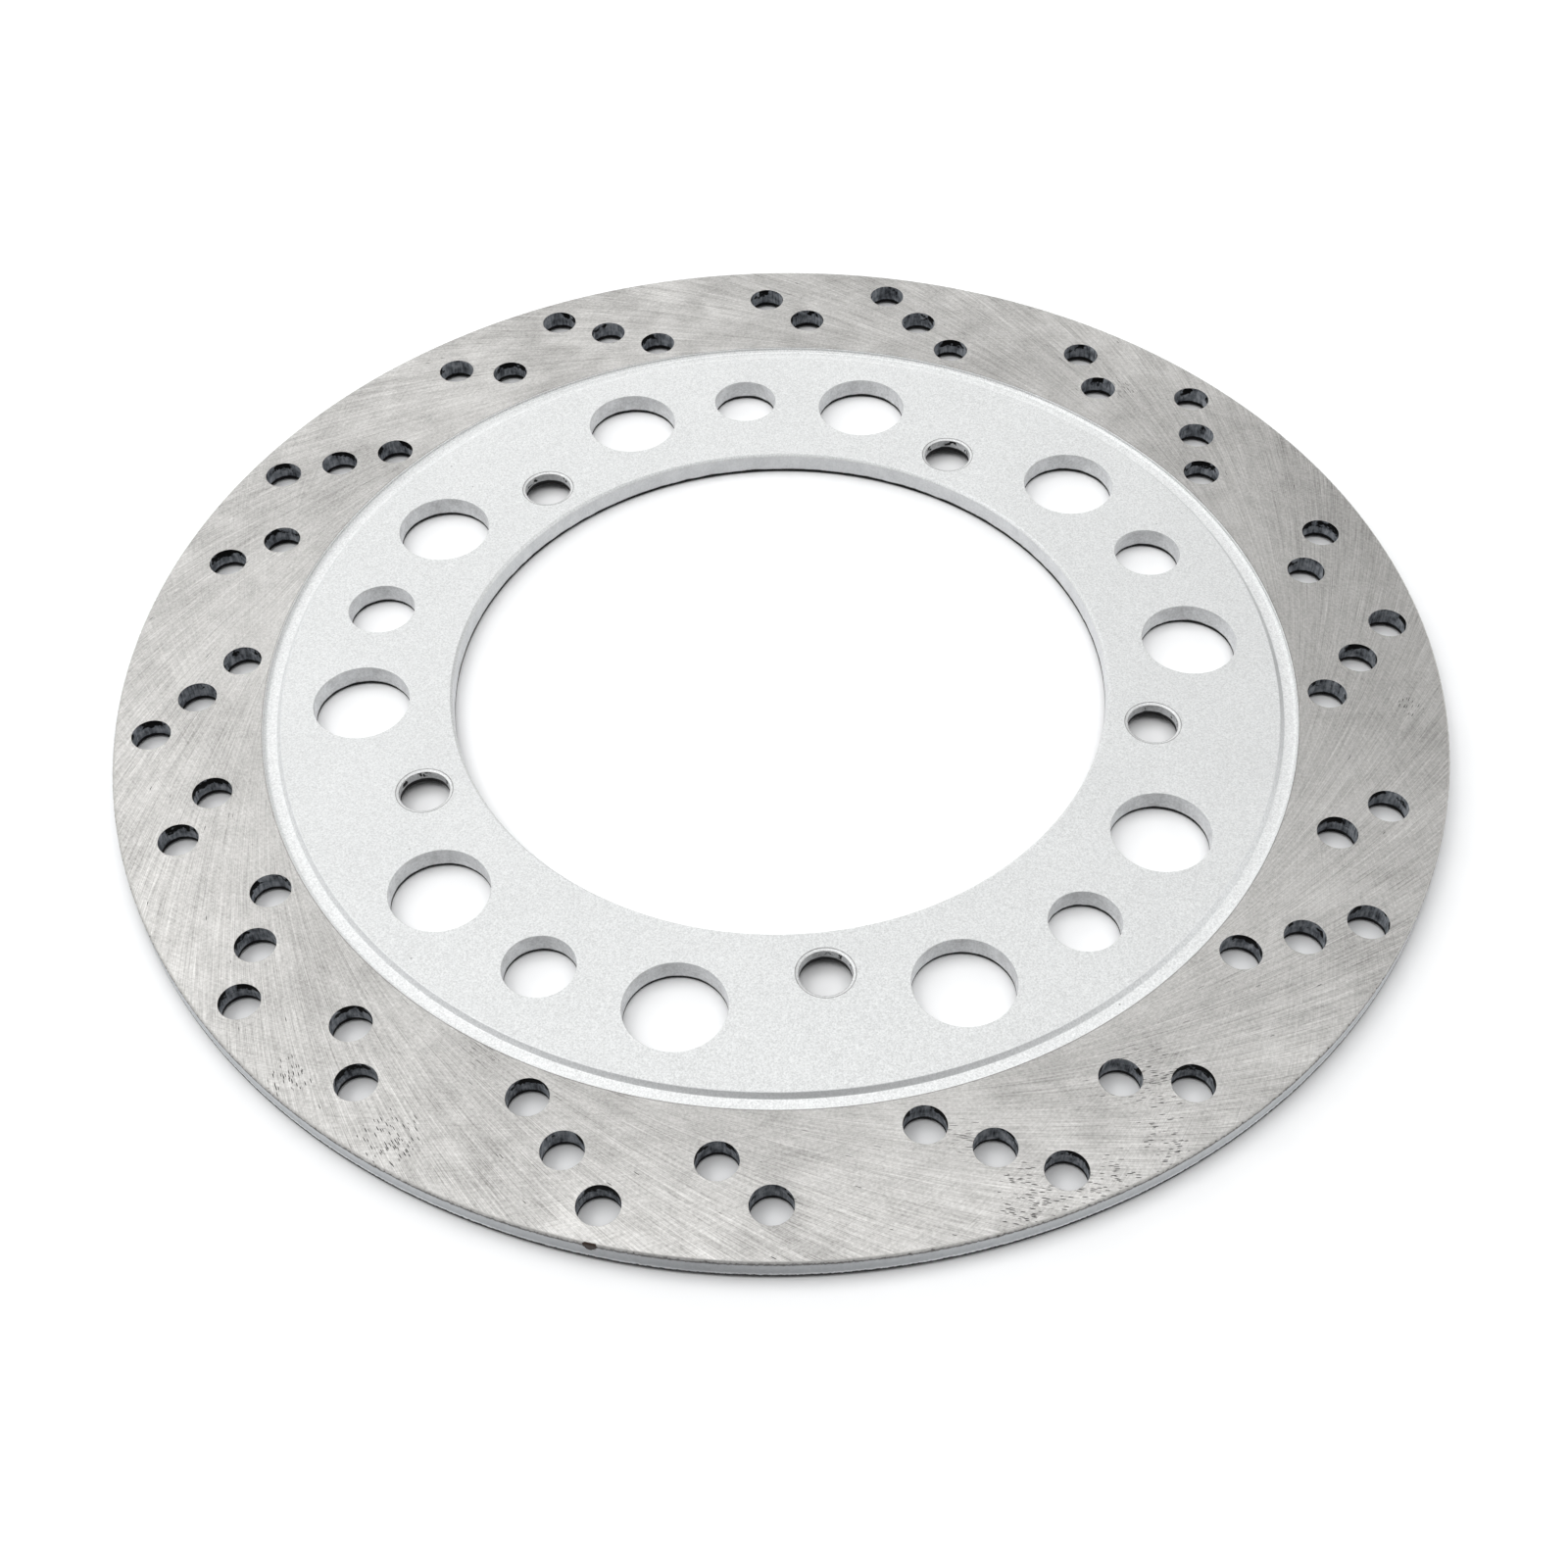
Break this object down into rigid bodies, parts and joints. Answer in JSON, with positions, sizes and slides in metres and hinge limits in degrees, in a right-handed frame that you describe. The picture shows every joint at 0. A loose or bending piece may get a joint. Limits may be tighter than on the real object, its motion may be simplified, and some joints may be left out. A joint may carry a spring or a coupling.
{
  "type": "brake disc rotor",
  "caption": "Flat, one-piece motorcycle brake disc: a drilled, ground friction band around a painted, lightened mounting flange.",
  "frame": {"origin": "on the bore axis, in the plane of the flange underside (the hub face), the lowest plane of the part", "axes": "+Z along the bore axis, away from the wheel; +X through the centre of one bolt hole; +Y completes the right-handed frame"},
  "size_m": [0.31, 0.31, 0.0059],
  "materials": {
    "ground_steel": "rotary ground, bare, fine crossed arcs",
    "silver_paint": "satin metallic silver paint"
  },
  "bodies": {
    "root": {"friction_band": "ground_steel", "mounting_flange": "silver_paint"}
  },
  "joints": []
}
